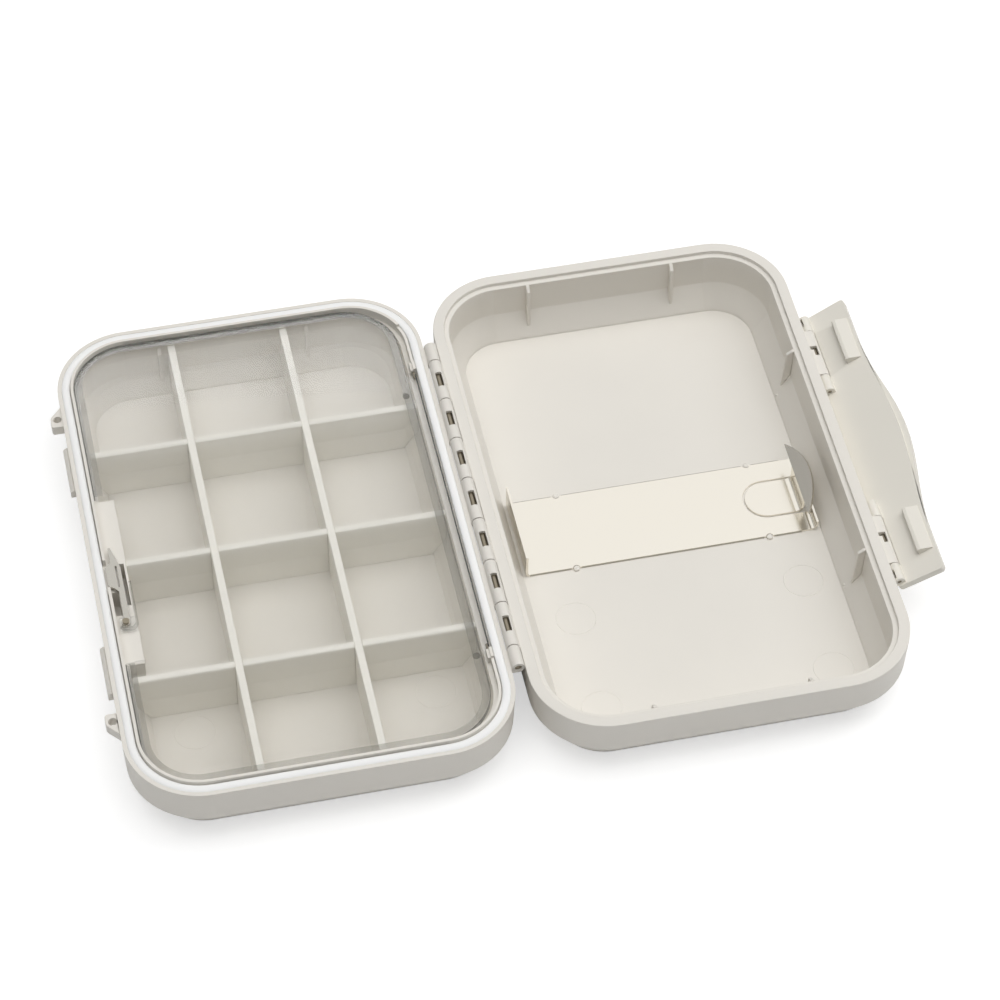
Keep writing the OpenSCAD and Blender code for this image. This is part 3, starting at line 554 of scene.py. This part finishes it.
class FLYBOX_OT_stage(bpy.types.Operator):
    """Lay the floor, make the sky, hang the lamp and stand the camera"""

    bl_idname = "flybox.stage"
    bl_label = "Stage"

    floor_size = 6.0
    floor_drop = 0.1 * MM
    paper = (0.9, 0.9, 0.9, 1.0)
    paper_glow, glow_share = 1.6, 0.35  # bring the paper near white where it is seen, and light nothing
    overhead = (0.8, 0.96)  # heights on a sky of radius 1 where the light from above starts and is full
    mirrored_sky = (0.1, 0.55)  # the same for the sky that glossy pieces mirror
    mirrored_levels = (0.25, 1.08)  # its levels low down and overhead
    lamp_place = (1.0, 0.15, 1.0)
    lamp_size = 0.8
    lamp_aim = (0.05, 0.0, 0.0)

    def execute(self, context):
        stage = context.scene.flybox_stage
        self.floor(context)
        self.sky(context, stage)
        self.key_lamp(context, stage)
        self.camera(context, stage)
        context.scene.view_settings.view_transform = "Standard"
        return {"FINISHED"}

    def floor(self, context):
        """White paper under the box."""
        bm = bmesh.new()
        bmesh.ops.create_grid(bm, x_segments=1, y_segments=1, size=self.floor_size,
                              matrix=Matrix.Translation((0.0, 0.0, -self.floor_drop)))
        mesh = bpy.data.meshes.new("floor")
        bm.to_mesh(mesh)
        bm.free()
        floor = bpy.data.objects.new("floor", mesh)
        context.scene.collection.objects.link(floor)
        material, tree, output = new_material("studio_paper_white")
        path = add_node(tree, "ShaderNodeLightPath")
        seen = add_node(tree, "ShaderNodeMath", {"operation": "MAXIMUM"}, i0=path.outputs["Is Camera Ray"],
                        i1=path.outputs["Is Transmission Ray"])
        paper = add_node(tree, "ShaderNodeBsdfDiffuse", Color=self.paper)
        white = add_node(tree, "ShaderNodeEmission", Color=WHITE, Strength=self.paper_glow)
        share = add_node(tree, "ShaderNodeMath", {"operation": "MULTIPLY"}, i0=seen.outputs[0],
                         i1=self.glow_share)
        both = add_node(tree, "ShaderNodeMixShader", i0=share.outputs[0], i1=paper.outputs[0],
                        i2=white.outputs[0])
        finish_material(tree, output, both)
        mesh.materials.append(material)

    def sky(self, context, stage):
        """Soft light from above, another sky for glossy pieces to mirror, and white for the camera."""
        world = bpy.data.worlds.new("studio")
        context.scene.world = world
        world.use_nodes = True
        tree = world.node_tree
        tree.nodes.clear()
        path = add_node(tree, "ShaderNodeLightPath")
        direction = add_node(tree, "ShaderNodeTexCoord").outputs[0]
        height = add_node(tree, "ShaderNodeSeparateXYZ", Vector=direction).outputs["Z"]
        skies = []
        for (start, end), (low, high) in ((self.overhead, (stage.sky_level, stage.zenith_level)),
                                          (self.mirrored_sky, self.mirrored_levels)):
            level = add_node(tree, "ShaderNodeMapRange", {"interpolation_type": "SMOOTHSTEP"}, Value=height,
                             From_Min=start, From_Max=end, To_Min=low, To_Max=high)
            skies.append(add_node(tree, "ShaderNodeBackground", Color=WHITE, Strength=level.outputs[0]))
        white = add_node(tree, "ShaderNodeBackground", Color=WHITE, Strength=1.0)
        seen = add_node(tree, "ShaderNodeMath", {"operation": "MAXIMUM"}, i0=path.outputs["Is Camera Ray"],
                        i1=path.outputs["Is Transmission Ray"])
        light = add_node(tree, "ShaderNodeMixShader", i0=path.outputs["Is Glossy Ray"],
                         i1=skies[0].outputs[0], i2=skies[1].outputs[0])
        mix = add_node(tree, "ShaderNodeMixShader", i0=seen.outputs[0], i1=light.outputs[0],
                       i2=white.outputs[0])
        finish_material(tree, tree.nodes.new("ShaderNodeOutputWorld"), mix)

    def key_lamp(self, context, stage):
        """One soft square lamp high on the right."""
        lamp = bpy.data.lights.new("key_lamp", "AREA")
        lamp.energy = stage.key_level
        lamp.size = self.lamp_size
        holder = bpy.data.objects.new("key_lamp", lamp)
        context.scene.collection.objects.link(holder)
        holder.location = self.lamp_place
        aim = Vector(self.lamp_aim) - Vector(self.lamp_place)
        holder.rotation_euler = aim.to_track_quat("-Z", "Y").to_euler()

    def camera(self, context, stage):
        """Stands where the photograph was taken from."""
        lens = bpy.data.cameras.new("camera")
        lens.lens = stage.lens_mm
        lens.sensor_width = 36.0
        lens.clip_start = 0.01
        lens.clip_end = 50.0
        camera = bpy.data.objects.new("camera", lens)
        context.scene.collection.objects.link(camera)
        camera.location = stage.camera_place
        camera.rotation_euler = stage.camera_turn
        context.scene.camera = camera


class FLYBOX_PT_panel(bpy.types.Panel):
    """Sizes, colours and the pieces in the order they are made"""

    bl_label = "Fly Box"
    bl_idname = "FLYBOX_PT_panel"
    bl_space_type = "VIEW_3D"
    bl_region_type = "UI"
    bl_category = "Fly Box"

    def draw(self, context):
        for group in ("flybox_finish", "flybox_marks", "flybox_stage"):
            settings = getattr(context.scene, group)
            box = self.layout.box()
            for name in settings.__annotations__:
                box.prop(settings, name)
        for operator in OPERATORS:
            self.layout.operator(operator.bl_idname)


OPERATORS = (FLYBOX_OT_plastic, FLYBOX_OT_seal, FLYBOX_OT_clear_lid, FLYBOX_OT_metal,
             FLYBOX_OT_mould_marks, FLYBOX_OT_stage)
GROUPS = (FinishSettings, MarkSettings, StageSettings)
CLASSES = GROUPS + OPERATORS + (FLYBOX_PT_panel,)


def register():
    """Registers the classes and hangs the settings on the scene."""
    for item in CLASSES:
        bpy.utils.register_class(item)
    bpy.types.Scene.flybox_finish = PointerProperty(type=FinishSettings)
    bpy.types.Scene.flybox_marks = PointerProperty(type=MarkSettings)
    bpy.types.Scene.flybox_stage = PointerProperty(type=StageSettings)


def unregister():
    """Takes the settings and the classes away again."""
    del bpy.types.Scene.flybox_stage
    del bpy.types.Scene.flybox_marks
    del bpy.types.Scene.flybox_finish
    for item in reversed(CLASSES):
        bpy.utils.unregister_class(item)


def main():
    """Makes every piece in order."""
    register()
    bpy.ops.flybox.plastic()
    bpy.ops.flybox.seal()
    bpy.ops.flybox.clear_lid()
    bpy.ops.flybox.metal()
    bpy.ops.flybox.mould_marks()
    bpy.ops.flybox.stage()


if __name__ == "__main__":
    main()
